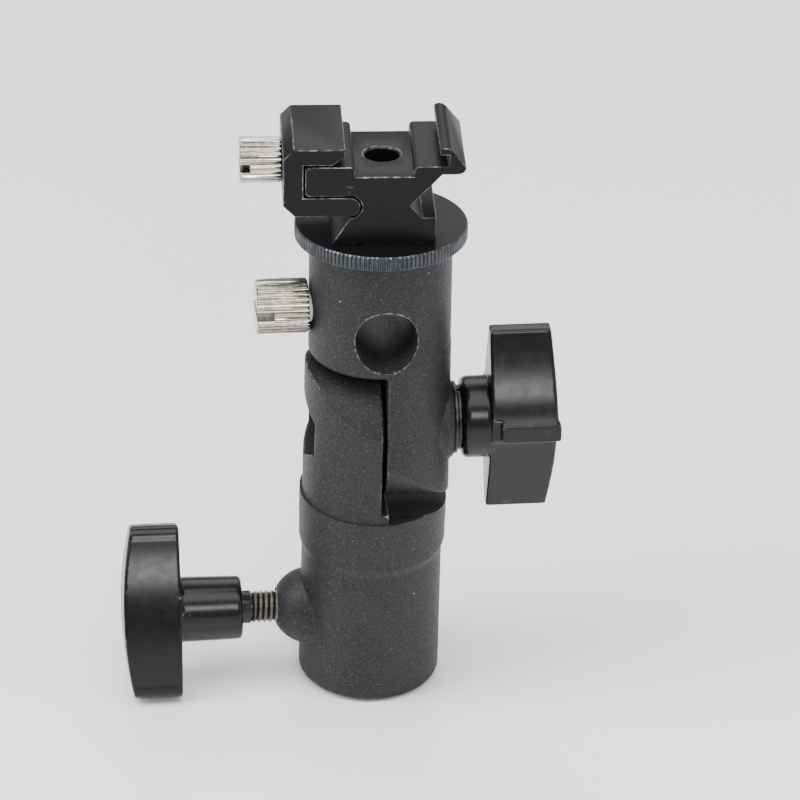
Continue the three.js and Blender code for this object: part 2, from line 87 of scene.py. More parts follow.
def turn(degrees, axis):
    return Matrix.Rotation(math.radians(degrees), 4, axis)


def shift(x, y, z):
    return Matrix.Translation((x, y, z))


METRES = Matrix.Scale(0.001, 4)
GROUND = Matrix.Identity(4)
PIVOT = shift(0, 0, PIVOT_HEIGHT)
WING = PIVOT @ turn(-5, "X")
CLAMP = shift(0, 0, CLAMP_HEIGHT) @ turn(-26, "X")
HEAD = PIVOT @ shift(0.65, 0, 0) @ turn(-6.5, "X")
THUMB = HEAD @ shift(-12.8, 0, THUMBSCREW_HEIGHT)
LOCK_DISC = HEAD @ shift(0, 0, 36.5)
SHOE = HEAD @ shift(0, 0, 39.3) @ turn(-3.2, "Z")
JAW_SCREW = SHOE @ shift(-17.6, 0, JAW_SCREW_HEIGHT)
LEFTWARD = turn(-90, "Y")  # +Z becomes -X

# ---------- Nodes ----------


def add(tree, kind, inputs=None, **settings):
    """Adds a node, sets its settings, and links or sets its inputs."""
    node = tree.nodes.new(kind)
    for name, value in settings.items():
        setattr(node, name, value)
    for key, value in (inputs or {}).items():
        if isinstance(value, bpy.types.NodeSocket):
            tree.links.new(value, node.inputs[key])
        else:
            node.inputs[key].default_value = value
    return node


def colour(hex_code):
    """An sRGB hex colour as linear RGBA."""
    parts = [int(hex_code[i : i + 2], 16) / 255 for i in (1, 3, 5)]
    return [p / 12.92 if p <= 0.04045 else ((p + 0.055) / 1.055) ** 2.4 for p in parts] + [1]


def ramp(tree, factor, stops):
    """A colour ramp from (position, hex colour) stops."""
    node = add(tree, "ShaderNodeValToRGB", {"Fac": factor})
    elements = node.color_ramp.elements
    while len(elements) < len(stops):
        elements.new(0.5)
    for element, (position, hex_code) in zip(elements, stops):
        element.position = position
        element.color = colour(hex_code)
    return node.outputs["Color"]


def grain(tree, size_mm, detail=2, stretch=(1, 1, 1), offset=(0, 0, 0)):
    """Noise whose spots are about size_mm across, in the piece's own coordinates."""
    place = add(tree, "ShaderNodeTexCoord").outputs["Object"]
    mapped = add(tree, "ShaderNodeMapping", {"Vector": place, "Scale": stretch, "Location": offset})
    noise = add(
        tree,
        "ShaderNodeTexNoise",
        {"Vector": mapped.outputs["Vector"], "Scale": 1000 / size_mm, "Detail": detail, "Roughness": 0.6},
    )
    return noise.outputs["Fac"]


def mix(tree, factor, a, b, blend="MIX"):
    """Two colours mixed by a factor."""
    node = add(tree, "ShaderNodeMix", data_type="RGBA", blend_type=blend)
    for index, value in ((0, factor), (6, a), (7, b)):
        if isinstance(value, bpy.types.NodeSocket):
            tree.links.new(value, node.inputs[index])
        else:
            node.inputs[index].default_value = value
    return node.outputs[2]


def ranged(tree, value, low, high, to_low, to_high):
    """A value carried from one range to another, clamped."""
    return add(
        tree,
        "ShaderNodeMapRange",
        {"Value": value, "From Min": low, "From Max": high, "To Min": to_low, "To Max": to_high},
    ).outputs["Result"]


def calc(tree, operation, a, b):
    """Two values put through a Math node."""
    return add(tree, "ShaderNodeMath", {0: a, 1: b}, operation=operation).outputs[0]


def attribute(tree, name):
    """A value that the mesh carries under this name."""
    return add(tree, "ShaderNodeAttribute", attribute_name=name).outputs["Fac"]


def material(name, paint):
    """A material whose tree is painted by a function that returns the shader's inputs."""
    made = bpy.data.materials.new(name)
    made.use_nodes = True
    tree = made.node_tree
    tree.nodes.clear()
    shader = add(tree, "ShaderNodeBsdfPrincipled", paint(tree))
    add(tree, "ShaderNodeOutputMaterial", {"Surface": shader.outputs["BSDF"]})
    return made


def bump(tree, height, depth_mm, strength=1.0, under=None):
    """A bump from a height of 0 to 1, depth_mm deep."""
    inputs = {"Height": height, "Distance": depth_mm / 1000, "Strength": strength}
    if under is not None:
        inputs["Normal"] = under
    return add(tree, "ShaderNodeBump", inputs).outputs["Normal"]


def edge_wear(tree, low, high):
    """0 to 1 on the outer edges, from each mesh's own edge attribute."""
    return ranged(tree, attribute(tree, "edge"), low, high, 0, 1)


# ---------- Finishes ----------


def paint_powder_coat(tree):
    # Textured powder coat: a dry skin with grains about 0.4 mm across, the tops of which catch the
    # light as pale dots, and a slow cloudiness from uneven spraying.
    grains = grain(tree, 0.42, detail=3)
    clouds = grain(tree, 9, detail=2)
    dots = ramp(tree, grains, [(0.3, "#0d0e10"), (0.5, "#17181a"), (0.62, "#2b2c2e"), (0.74, "#5e5f61")])
    soft = ramp(tree, clouds, [(0.3, "#17181a"), (0.7, "#212224")])
    base = mix(tree, 0.5, dots, soft)
    # The coat is thin on outer edges, where handling has rubbed it pale.
    rubbed = calc(tree, "MULTIPLY", edge_wear(tree, 0.4, 1.6), grain(tree, 0.8))
    base = mix(tree, ranged(tree, rubbed, 0.2, 0.7, 0, 0.8), base, colour("#88898b"))
    # Chips down to the bare casting, a fraction of a millimetre across.
    chips = ranged(tree, grain(tree, 1.1, detail=1, offset=(3, 1, 2)), 0.815, 0.83, 0, 0.9)
    base = mix(tree, chips, base, colour("#b9b9b7"))
    # A fine flow line left in the casting under the coat.
    line = ranged(tree, attribute(tree, "flow_line"), 0.2, 0.9, 0, 0.6)
    base = mix(tree, line, base, colour("#0c0d0e"))
    return {
        "Base Color": base,
        "Roughness": ranged(tree, grains, 0.3, 0.7, 0.58, 0.42),
        "Metallic": 0.0,
        "IOR": 1.36,
        "Normal": bump(tree, grains, 0.11, 1.0),
    }


def paint_black_anodised(tree):
    # Black anodised aluminium, milled: satin, with fine tool lines about 0.15 mm apart.
    lines = grain(tree, 0.5, detail=2, stretch=(3.2, 0.12, 3.2))
    spots = grain(tree, 0.3, detail=2)
    base = ramp(tree, lines, [(0.3, "#08090a"), (0.7, "#0d0e10")])
    # Hairline scratches show paler metal through the dye.
    streaks = grain(tree, 2.6, detail=1, stretch=(1, 0.05, 1.3), offset=(1, 4, 2))
    scratch = ranged(tree, streaks, 0.74, 0.76, 0, 0.4)
    return {
        "Base Color": mix(tree, scratch, base, colour("#4a4d52")),
        "Roughness": ranged(tree, spots, 0.3, 0.7, 0.3, 0.4),
        "Metallic": 0.0,
        "IOR": 1.26,
        "Normal": bump(tree, lines, 0.008, 0.5, bump(tree, spots, 0.006, 0.4)),
    }


def paint_knurled_anodised(tree):
    # The lock disc's rim, its ridges painted a paler grey than the disc's faces.
    pale_patches = grain(tree, 1.8, detail=3)
    return {
        "Base Color": ramp(tree, pale_patches, [(0.35, "#303234"), (0.65, "#494c4f")]),
        "Roughness": ranged(tree, pale_patches, 0.3, 0.7, 0.4, 0.3),
        "Metallic": 0.5,
    }


def paint_rubbed_and_highlighted_anodised(tree):
    # Broken edges of the milled pieces, paler where the dye has rubbed off in places, and lightened
    # further as a painted highlight along them.
    pale_patches = grain(tree, 1.3, detail=3)
    return {
        "Base Color": ramp(tree, pale_patches, [(0.38, "#1c1e21"), (0.52, "#4a4d52"), (0.72, "#888c91")]),
        "Roughness": ranged(tree, pale_patches, 0.3, 0.7, 0.35, 0.25),
        "Metallic": 0.6,
    }


def paint_moulded_plastic(tree):
    # Moulded glass-filled nylon: black, semi-gloss, faintly mottled, its edges scuffed pale.
    mottle = grain(tree, 1.6, detail=4)
    skin = grain(tree, 0.5, detail=2)
    base = ramp(tree, mottle, [(0.3, "#0b0d0e"), (0.7, "#101213")])
    flash = calc(tree, "MULTIPLY", edge_wear(tree, 0.6, 1.8), grain(tree, 1.4, detail=3))
    base = mix(tree, ranged(tree, flash, 0.3, 0.6, 0, 0.75), base, colour("#74787a"))
    streaks = grain(tree, 3, detail=3, stretch=(1, 0.3, 1), offset=(2, 2, 5))
    base = mix(tree, ranged(tree, streaks, 0.7, 0.78, 0, 0.25), base, colour("#484c4e"))
    return {
        "Base Color": base,
        "Roughness": ranged(tree, mottle, 0.3, 0.7, 0.2, 0.28),
        "Metallic": 0.0,
        "IOR": 1.35,
        "Normal": bump(tree, skin, 0.006, 0.4),
    }


def paint_nickel_plate(tree):
    # Bright nickel on turned brass: warm silver, with a slight haze.
    haze = grain(tree, 0.9, detail=3)
    return {
        "Base Color": ramp(tree, haze, [(0.3, "#98938a"), (0.7, "#bfbab0")]),
        "Roughness": ranged(tree, haze, 0.3, 0.7, 0.1, 0.2),
        "Metallic": 1.0,
        "Normal": bump(tree, grain(tree, 0.3), 0.004, 0.4),
    }


def paint_bare_brass(tree):
    # Turned brass, uncoated, with fine tool marks.
    marks = grain(tree, 0.4, detail=2, stretch=(1, 0.1, 1))
    return {
        "Base Color": ramp(tree, marks, [(0.3, "#8a7443"), (0.7, "#b89c62")]),
        "Roughness": ranged(tree, marks, 0.3, 0.7, 0.3, 0.45),
        "Metallic": 1.0,
        "Normal": bump(tree, marks, 0.01, 0.5),
    }


def paint_black_oxide_steel(tree):
    # Oiled black oxide on turned steel: browned in a thread's roots, and bright on its crests, partly
    # rubbed bare and partly a painted highlight.
    film = grain(tree, 0.8, detail=3)
    base = ramp(tree, film, [(0.3, "#2b2b2c"), (0.62, "#3c3b3b"), (0.8, "#4c4038")])
    base = mix(tree, ranged(tree, attribute(tree, "root"), 0.3, 1, 0, 0.8), base, colour("#43342a"))
    # Painted highlight along the thread's crests, also standing for the steel rubbed bare there.
    crest = ranged(tree, attribute(tree, "crest"), 0.3, 1, 0, 0.9)
    return {
        "Base Color": mix(tree, crest, base, colour("#b9b6b0")),
        "Roughness": ranged(tree, film, 0.3, 0.7, 0.24, 0.4),
        "Metallic": 0.9,
        "Normal": bump(tree, film, 0.006, 0.4),
    }


def paint_zinc_steel(tree):
    # Bright zinc plate on a turned insert.
    film = grain(tree, 0.7, detail=3)
    return {
        "Base Color": ramp(tree, film, [(0.3, "#8f9193"), (0.7, "#b4b6b8")]),
        "Roughness": ranged(tree, film, 0.3, 0.7, 0.25, 0.4),
        "Metallic": 1.0,
    }


def paint_natural_nylon(tree):
    # Milky nylon, softly mottled.
    film = grain(tree, 1.1, detail=3)
    return {
        "Base Color": ramp(tree, film, [(0.3, "#cfcdc2"), (0.7, "#dedcd3")]),
        "Roughness": ranged(tree, film, 0.3, 0.7, 0.45, 0.6),
        "IOR": 1.53,
    }


def paint_pressed_fibre(tree):
    # Brown-black friction fibre, matted.
    film = grain(tree, 0.3, detail=4)
    return {
        "Base Color": ramp(tree, film, [(0.3, "#251d17"), (0.7, "#4a3c30")]),
        "Roughness": ranged(tree, film, 0.3, 0.7, 0.75, 0.9),
        "Normal": bump(tree, film, 0.05, 0.8),
    }


FINISHES = {
    "powder_coated_casting": material("powder_coated_die_cast_aluminium", paint_powder_coat),
    "black_anodised": material("black_anodised_aluminium", paint_black_anodised),
    "knurled_anodised": material("knurled_anodised_rim", paint_knurled_anodised),
    "rubbed_and_highlighted_anodised": material("rubbed_anodised_edge", paint_rubbed_and_highlighted_anodised),
    "black_plastic": material("moulded_black_nylon", paint_moulded_plastic),
    "black_steel": material("black_oxide_steel", paint_black_oxide_steel),
    "zinc_steel": material("zinc_plated_steel", paint_zinc_steel),
    "nickel_brass": material("nickel_plated_brass", paint_nickel_plate),
    "brass": material("bare_brass", paint_bare_brass),
    "nylon": material("natural_nylon", paint_natural_nylon),
    "fibre": material("pressed_fibre", paint_pressed_fibre),
}

# ---------- Shapes, in millimetres ----------


def keep_mesh(bm, name="shape"):
    """A closed bmesh as an object in the scene, its faces outward."""
    bmesh.ops.recalc_face_normals(bm, faces=bm.faces)
    mesh = bpy.data.meshes.new(name)
    bm.to_mesh(mesh)
    bm.free()
    made = bpy.data.objects.new(name, mesh)
    bpy.context.scene.collection.objects.link(made)
    return made


def lathe(profile, axis, centre=(0, 0, 0), segments=180):
    """A turned solid from (radius, distance along the axis) pairs."""
    order = {"x": (2, 0, 1), "y": (1, 2, 0), "z": (0, 1, 2)}[axis]
    bm = bmesh.new()
    rings = []
    for radius, height in profile:
        count = segments if radius else 1
        ring = []
        for i in range(count):
            angle = 2 * math.pi * i / segments
            point = (radius * math.cos(angle), radius * math.sin(angle), height)
            ring.append(bm.verts.new(Vector([point[k] for k in order]) + Vector(centre)))
        rings.append(ring)
    for low, high in zip(rings, rings[1:]):
        for i in range(segments):
            j = (i + 1) % segments
            corners = [low[i % len(low)], low[j % len(low)], high[j % len(high)], high[i % len(high)]]
            bm.faces.new(list(dict.fromkeys(corners)))
    return keep_mesh(bm)


def rod(radius, low, high, axis, centre=(0, 0, 0), segments=180):
    return lathe([(0, low), (radius, low), (radius, high), (0, high)], axis, centre, segments)


def prism(outline, low, high, axis):
    """A closed outline pushed along x (drawn in y, z) or along y (drawn in x, z)."""
    bm = bmesh.new()
    ends = []
    for far in (low, high):
        points = [(far, u, v) if axis == "x" else (u, far, v) for u, v in outline]
        ends.append([bm.verts.new(p) for p in points])
    bm.faces.new(ends[0])
    bm.faces.new(ends[1])
    for i in range(len(outline)):
        j = (i + 1) % len(outline)
        bm.faces.new([ends[0][i], ends[0][j], ends[1][j], ends[1][i]])
    return keep_mesh(bm)


def box(low, high):
    corners = [(low[0], low[2]), (high[0], low[2]), (high[0], high[2]), (low[0], high[2])]
    return prism(corners, low[1], high[1], "y")


def ball(radius, centre, steps=40):
    """A sphere turned about x."""
    angles = [math.pi * i / steps for i in range(1, steps)]
    profile = [(radius * math.sin(a), -radius * math.cos(a)) for a in angles]
    return lathe([(0, -radius), *profile, (0, radius)], "x", centre, 90)


def curve(start, control, end, steps=16):
    """Points of a quadratic curve, without its start."""
    points = []
    for i in range(1, steps + 1):
        t = i / steps
        weights = ((1 - t) ** 2, 2 * t * (1 - t), t * t)
        points.append(tuple(np.dot(weights, along) for along in zip(start, control, end)))
    return points


def arc(centre, radius, start, end, steps=20):
    """Points of a circular arc in degrees."""
    angles = [math.radians(start + (end - start) * i / steps) for i in range(steps + 1)]
    return [(centre[0] + radius * math.cos(a), centre[1] + radius * math.sin(a)) for a in angles]


def settle(made):
    """Applies the object's modifiers to its mesh."""
    graph = bpy.context.evaluated_depsgraph_get()
    graph.update()
    old = made.data
    mesh = bpy.data.meshes.new_from_object(made.evaluated_get(graph))
    made.modifiers.clear()
    made.data = mesh
    bpy.data.meshes.remove(old)
    return made


def combine(operation, base, tools):
    for tool in tools:
        step = base.modifiers.new("cut", "BOOLEAN")
        step.operation = operation
        step.solver = "EXACT"
        step.material_mode = "TRANSFER"
        step.object = tool
    settle(base)
    for tool in tools:
        mesh = tool.data
        bpy.data.objects.remove(tool)
        bpy.data.meshes.remove(mesh)
    return base


def join(base, *tools):
    return combine("UNION", base, tools)


def cut(base, *tools):
    return combine("DIFFERENCE", base, tools)


def cross(base, *tools):
    return combine("INTERSECT", base, tools)


def merge(base, *others):
    """Puts other objects' meshes into base as separate shells."""
    names = {a.name for made in (base, *others) for a in made.data.attributes if a.data_type == "FLOAT"}
    for made in (base, *others):
        for name in names - {a.name for a in made.data.attributes}:
            made.data.attributes.new(name, "FLOAT", "POINT")
    bm = bmesh.new()
    for made in (base, *others):
        bm.from_mesh(made.data)
    bm.to_mesh(base.data)
    bm.free()
    for made in others:
        bpy.data.objects.remove(made)
    return base


def mark_edges(made, large_face=0.12):
    """Stores how convex each face is, per millimetre, as the edge attribute.

    Faces over large_face, in square millimetres, were cut after the rounding, and count as flat.
    """
    mesh = made.data
    points = np.zeros(len(mesh.vertices) * 3)
    mesh.vertices.foreach_get("co", points)
    points = points.reshape(-1, 3)
    normals = np.zeros(len(mesh.vertices) * 3)
    mesh.vertex_normals.foreach_get("vector", normals)
    normals = normals.reshape(-1, 3)
    ends = np.zeros(len(mesh.edges) * 2, dtype=np.int64)
    mesh.edges.foreach_get("vertices", ends)
    a, b = ends.reshape(-1, 2).T
    step = points[a] - points[b]
    bend = ((normals[a] - normals[b]) * step).sum(1) / np.maximum((step**2).sum(1), 1e-3)
    for _ in range(2):
        total = np.zeros(len(points))
        count = np.zeros(len(points))
        for end in (a, b):
            np.add.at(total, end, bend)
            np.add.at(count, end, 1)
        level = total / np.maximum(count, 1)
        bend = (level[a] + level[b]) / 2
    corners = np.zeros(len(mesh.loops), dtype=np.int64)
    mesh.loops.foreach_get("vertex_index", corners)
    starts = np.zeros(len(mesh.polygons), dtype=np.int64)
    mesh.polygons.foreach_get("loop_start", starts)
    sizes = np.zeros(len(mesh.polygons), dtype=np.int64)
    mesh.polygons.foreach_get("loop_total", sizes)
    areas = np.zeros(len(mesh.polygons))
    mesh.polygons.foreach_get("area", areas)
    faces = np.add.reduceat(level[corners], starts) / sizes
    faces[areas > large_face] = 0
    mesh.attributes.new("edge", "FLOAT", "FACE").data.foreach_set("value", faces.astype(np.float32))


def paint_vertices(made, name, level):
    """Stores a level from 0 to 1 for each vertex, worked out from its place."""
    values = [level(v.co) for v in made.data.vertices]
    made.data.attributes.new(name, "FLOAT", "POINT").data.foreach_set("value", values)


def soften(made, voxel, rounds):
    """Remeshes a shape evenly and rounds its edges, as a casting's or a moulding's are."""
    remesh = made.modifiers.new("even", "REMESH")
    remesh.mode = "VOXEL"
    remesh.voxel_size = voxel
    smooth = made.modifiers.new("round", "SMOOTH")
    smooth.factor = 0.5
    smooth.iterations = rounds
    return settle(made)


def chamfer(made, width, segments=2, finish=-1):
    """Breaks a machined shape's sharp edges; the new faces may take another of its finishes."""
    bevel = made.modifiers.new("edges", "BEVEL")
    bevel.width = width
    bevel.segments = segments
    bevel.material = finish
    bevel.use_clamp_overlap = False
    bevel.limit_method = "ANGLE"
    bevel.angle_limit = math.radians(32)
    return settle(made)


def coat(made, *slots):
    """Gives a shape's faces the first of these finishes, and keeps the others ready on it."""
    made.data.materials.clear()
    for slot in slots:
        made.data.materials.append(FINISHES[slot])
    made.data.polygons.foreach_set("material_index", np.zeros(len(made.data.polygons), dtype=np.int32))
    return made


def finish_piece(made, name, place, body, slot, nodes, sharp=None):
    """Moves a shape to its place in metres, gives it its finish, and puts it on its body."""
    made.name = made.data.name = name
    made.data.transform(METRES @ place)
    made.data.shade_smooth()
    if sharp:
        made.data.set_sharp_from_angle(angle=math.radians(sharp))
    if not [m for m in made.data.materials if m]:
        coat(made, slot)
    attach(made, body)
    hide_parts(*nodes)
    return made


# ---------- Knurls and threads ----------


def tree_with(name, **sizes):
    """A geometry tree with named inputs of these kinds, and a material."""
    tree = bpy.data.node_groups.new(name, "GeometryNodeTree")
    for size, kind in {**sizes, "Finish": "Material"}.items():
        tree.interface.new_socket(size, in_out="INPUT", socket_type=f"NodeSocket{kind}")
    tree.interface.new_socket("Geometry", in_out="OUTPUT", socket_type="NodeSocketGeometry")
    return tree, add(tree, "NodeGroupInput").outputs


def close_tree(tree, geometry, finish):
    real = add(tree, "GeometryNodeRealizeInstances", {"Geometry": geometry})
    coated = add(tree, "GeometryNodeSetMaterial", {"Geometry": real.outputs[0], "Material": finish})
    add(tree, "NodeGroupOutput", {"Geometry": coated.outputs[0]})


def knurl_tree():
    """A bar along Z with straight ridges: a circle whose points step in and out, pushed along."""
    tree, given = tree_with("straight_knurl", Radius="Float", Depth="Float", Ridges="Int", Length="Float")
    circle = add(
        tree,
        "GeometryNodeMeshCircle",
        {"Vertices": calc(tree, "MULTIPLY", given["Ridges"], 4), "Radius": given["Radius"]},
        fill_type="NGON",
    )
    # Of every four points, the last two lie in a valley.
    index = add(tree, "GeometryNodeInputIndex").outputs[0]
    valley = calc(tree, "GREATER_THAN", calc(tree, "MODULO", index, 4), 1.5)
    share = calc(tree, "DIVIDE", given["Depth"], given["Radius"])
    scale = calc(tree, "SUBTRACT", 1, calc(tree, "MULTIPLY", valley, share))
    place = add(tree, "GeometryNodeInputPosition").outputs[0]
    scaled = add(tree, "ShaderNodeVectorMath", {0: place, "Scale": scale}, operation="SCALE").outputs[0]
    face = add(tree, "GeometryNodeSetPosition", {"Geometry": circle.outputs[0], "Position": scaled})
    length = add(tree, "ShaderNodeCombineXYZ", {"Z": given["Length"]})
    raised = add(
        tree,
        "GeometryNodeExtrudeMesh",
        {"Mesh": face.outputs[0], "Offset": length.outputs[0], "Offset Scale": 1, "Individual": False},
        mode="FACES",
    )
    bottom = add(tree, "GeometryNodeFlipFaces", {"Mesh": face.outputs[0]})
    whole = add(tree, "GeometryNodeJoinGeometry")
    tree.links.new(raised.outputs[0], whole.inputs[0])
    tree.links.new(bottom.outputs[0], whole.inputs[0])
    closed = add(tree, "GeometryNodeMergeByDistance", {"Geometry": whole.outputs[0], "Distance": 0.001})
    close_tree(tree, closed.outputs[0], given["Finish"])
    return tree


def thread_tree():
    """A V thread along Z: a four-sided section swept up a spiral, round a core."""
    tree, given = tree_with("screw_thread", Radius="Float", Height="Float", Turns="Float", Length="Float")
    middle = calc(tree, "SUBTRACT", given["Radius"], given["Height"])
    spiral = add(
        tree,
        "GeometryNodeCurveSpiral",
        {
            "Resolution": 40,
            "Rotations": given["Turns"],
            "Start Radius": middle,
            "End Radius": middle,
            "Height": given["Length"],
        },
    )
    upright = add(tree, "GeometryNodeSetCurveNormal", {"Curve": spiral.outputs[0]}, mode="Z_UP")
    section = add(tree, "GeometryNodeCurvePrimitiveCircle", {"Resolution": 4, "Radius": given["Height"]})
    swept = add(
        tree,
        "GeometryNodeCurveToMesh",
        {"Curve": upright.outputs[0], "Profile Curve": section.outputs[0], "Fill Caps": True},
    )
    core = add(
        tree,
        "GeometryNodeMeshCylinder",
        {"Vertices": 60, "Radius": middle, "Depth": given["Length"]},
        fill_type="NGON",
    )
    lift = add(tree, "ShaderNodeCombineXYZ", {"Z": calc(tree, "MULTIPLY", given["Length"], 0.5)})
    lifted = add(tree, "GeometryNodeSetPosition", {"Geometry": core.outputs[0], "Offset": lift.outputs[0]})
    whole = add(tree, "GeometryNodeJoinGeometry")
    tree.links.new(swept.outputs[0], whole.inputs[0])
    tree.links.new(lifted.outputs[0], whole.inputs[0])
    close_tree(tree, whole.outputs[0], given["Finish"])
    return tree


def grown(tree, slot, **values):
    """A plain mesh object from a geometry tree and its inputs' values, in one finish."""
    values["Finish"] = FINISHES[slot]
    made = keep_mesh(bmesh.new())
    step = made.modifiers.new("grow", "NODES")
    step.node_group = tree
    for item in tree.interface.items_tree:
        if item.in_out == "INPUT":
            step[item.identifier] = values[item.name]
    return settle(made)


KNURL = knurl_tree()
THREAD = thread_tree()


def knurled(radius, depth, ridges, length, slot, face_slot, edge_slot):
    """A knurled bar along Z from 0 to length, its ends chamfered."""
    spare = 0.5  # the ridges run past both ends, and the envelope trims them
    bar = grown(KNURL, slot, Radius=radius, Depth=depth, Ridges=ridges, Length=length + 2 * spare)
    bar.data.transform(shift(0, 0, -spare))
    edge = depth * 0.9
    outer = radius + 0.01  # just clear of the ridges, so their crests are left whole
    profile = [
        (0, 0),
        (radius - edge, 0),
        (outer, edge),
        (outer, length - edge),
        (radius - edge, length),
        (0, length),
    ]
    envelope = coat(lathe(profile, "z"), face_slot, edge_slot)
    for face in envelope.data.polygons:
        chamfered = 0.3 < abs(face.normal.z) < 0.95
        face.material_index = 1 if chamfered else 0
    return cross(bar, envelope)


def threaded(radius, height, pitch, length, slot):
    """A threaded bar along Z from 0 to length."""
    return grown(THREAD, slot, Radius=radius, Height=height, Turns=length / pitch, Length=length)


# ---------- Castings ----------


def flow_line(point):
    """1 on a thin slanted line on the socket's front, beside the dome, fading 0.3 mm away."""
    start, end = Vector((-8.1, 0, 17.6)), Vector((-1.6, 0, 11.3))
    flat = Vector((point.x, 0, point.z))
    along = (flat - start).dot(end - start) / (end - start).length_squared
    if point.y > 0 or not 0 < along < 1:
        return 0
    return max(0, 1 - (flat - start.lerp(end, along)).length / 0.3)


def socket_casting():
    """Stand socket, collar, left cheek and the clamp screw's dome, one casting."""
    pivot = (0, 0, PIVOT_HEIGHT)
    collar_top, trough_floor, ledge_top = 38.7, 36.8, 40.55
    barrel = lathe(
        [
            (0, 0),
            (12.25, 0),
            (12.6, 0.15),
            (12.75, 0.5),
            (12.6, 27.1),
            (13.15, 28.7),
            (13.15, collar_top - 0.3),
            (0, collar_top - 0.3),
        ],
        "z",
    )
    trough_round = 27
    trough = (trough_round, SLIT[0], FAR, "x", (0, 0, trough_floor + trough_round))
    collar = lathe(
        [
            (0, 30),
            (13, 30),
            (13.2, 33),
            (13.2, collar_top - 0.15),
            (13.05, collar_top),
            (0, collar_top),
        ],
        "z",
    )
    below_pivot = box((-FAR, -FAR, 0), (FAR, FAR, PIVOT_HEIGHT))
    round_end = join(rod(CHEEK_ROUND, -FAR, FAR, "x", pivot), below_pivot)
    left_half = box((-FAR, -FAR, 0), (SLIT[0], FAR, 90))
    cheek = cross(rod(CHEEK_RADIUS, 30, 68, "z"), round_end, left_half)
    ledge_box = box((0, -FAR, trough_floor - 1), (SLIT[0] + 1.4, FAR, ledge_top))
    ledge = cross(rod(CHEEK_RADIUS, 30, 68, "z"), ledge_box)
    ledge = cut(ledge, rod(CHEEK_ROUND + 0.3, -1, FAR, "x", pivot))
    hexagon = arc((0, PIVOT_HEIGHT), 5.7 / math.cos(math.pi / 6), 90, 390, 5)
    casting = join(cut(barrel, rod(*trough)), cheek, ledge, ball(7, (-10.95, 0, 12.8)))
    casting = soften(cut(casting, prism(hexagon, -FAR, -5.5, "x")), 0.25, 3)
    join(casting, cut(collar, rod(*trough)))
    # The collar and the holes are cut after the rounding, so their edges stay crisp.
    mouth = BORE + 0.6
    bore = lathe([(0, -1), (mouth, -1), (mouth, 0), (BORE, 0.6), (BORE, 30), (0, 30)], "z")
    cut(
        casting,
        bore,
        rod(M6_HOLE, -FAR, 0, "x", (0, 0, CLAMP_HEIGHT), 64),
        rod(M6_HOLE, -FAR, FAR, "x", pivot, 64),
        rod(DISC_SEAT, -0.4, 1.2, "x", pivot, 90),
    )
    mark_edges(casting)
    paint_vertices(casting, "flow_line", flow_line)
    return casting


def head_casting():
    """Upper casting about the pivot axis: right cheek, barrel and umbrella hole."""
    inner = SLIT[1] - 0.65  # the head's frame lies 0.65 mm along the pivot axis
    top = 36.3
    hole = (0, 0, 21.3)
    barrel = lathe(
        [
            (0, 13.8),
            (11.3, 13.8),
            (12.2, 14.2),
            (BARREL, 15),
            (BARREL, top - 0.4),
            (12.1, top),
            (0, top),
        ],
        "z",
    )
    round_end = join(rod(CHEEK_ROUND, -FAR, FAR, "x"), box((-FAR, -FAR, 0), (FAR, FAR, top)))
    right_half = box((inner, -FAR, -FAR), (FAR, FAR, top))
    cheek = cross(rod(CHEEK_RADIUS, -15, 16.2, "z"), round_end, right_half)
    boss = lathe([(0, inner + 1.6), (7.6, inner + 1.6), (7.6, 12), (6.85, 13.05), (0, 13.05)], "x")
    casting = soften(join(barrel, cheek, boss), 0.25, 3)
    bevel = [(0, 7.3), (UMBRELLA_HOLE, 10.6), (5.8, 12.05), (5.8, 14), (0, 14)]
    cut(
        casting,
        rod(UMBRELLA_HOLE, -FAR, FAR, "y", hole),
        lathe(bevel, "y", hole),
        lathe([(radius, -height) for radius, height in reversed(bevel)], "y", hole),
        rod(M6_HOLE, -FAR, 0, "x", (0, 0, THUMBSCREW_HEIGHT), 64),
        rod(STUD_HOLE, 27.25, 40, "z", segments=64),
        rod(M6_HOLE, -FAR, FAR, "x", segments=64),
        rod(DISC_SEAT, inner - 1, inner + 0.6, "x", segments=90),
    )
    mark_edges(casting)
    return casting


finish_piece(
    socket_casting(),
    "socket_casting",
    GROUND,
    "socket",
    "powder_coated_casting",
    ["socket_body"],
    SHARP_CAST,
)
finish_piece(
    head_casting(),
    "head_casting",
    HEAD,
    "head",
    "powder_coated_casting",
    ["head_body"],
    SHARP_CAST,
)

# ---------- Wing knob and washers ----------


def wing_outline():
    """Both wings across the bolt, the same after half a turn."""
    points = []
    for s in (1, -1):
        ridge = (-9.8 * s, 2.8 * s)
        tip = (-1.4 * s, 17.8 * s)
        points += [(-9.8 * s, -0.5 * s), ridge]
        points += curve(ridge, (-5.32 * s, 6.41 * s), tip, 28)
        points += [(1.4 * s, 17.8 * s), (7 * s, 1.9 * s), (8.4 * s, 0.5 * s)]
    return points


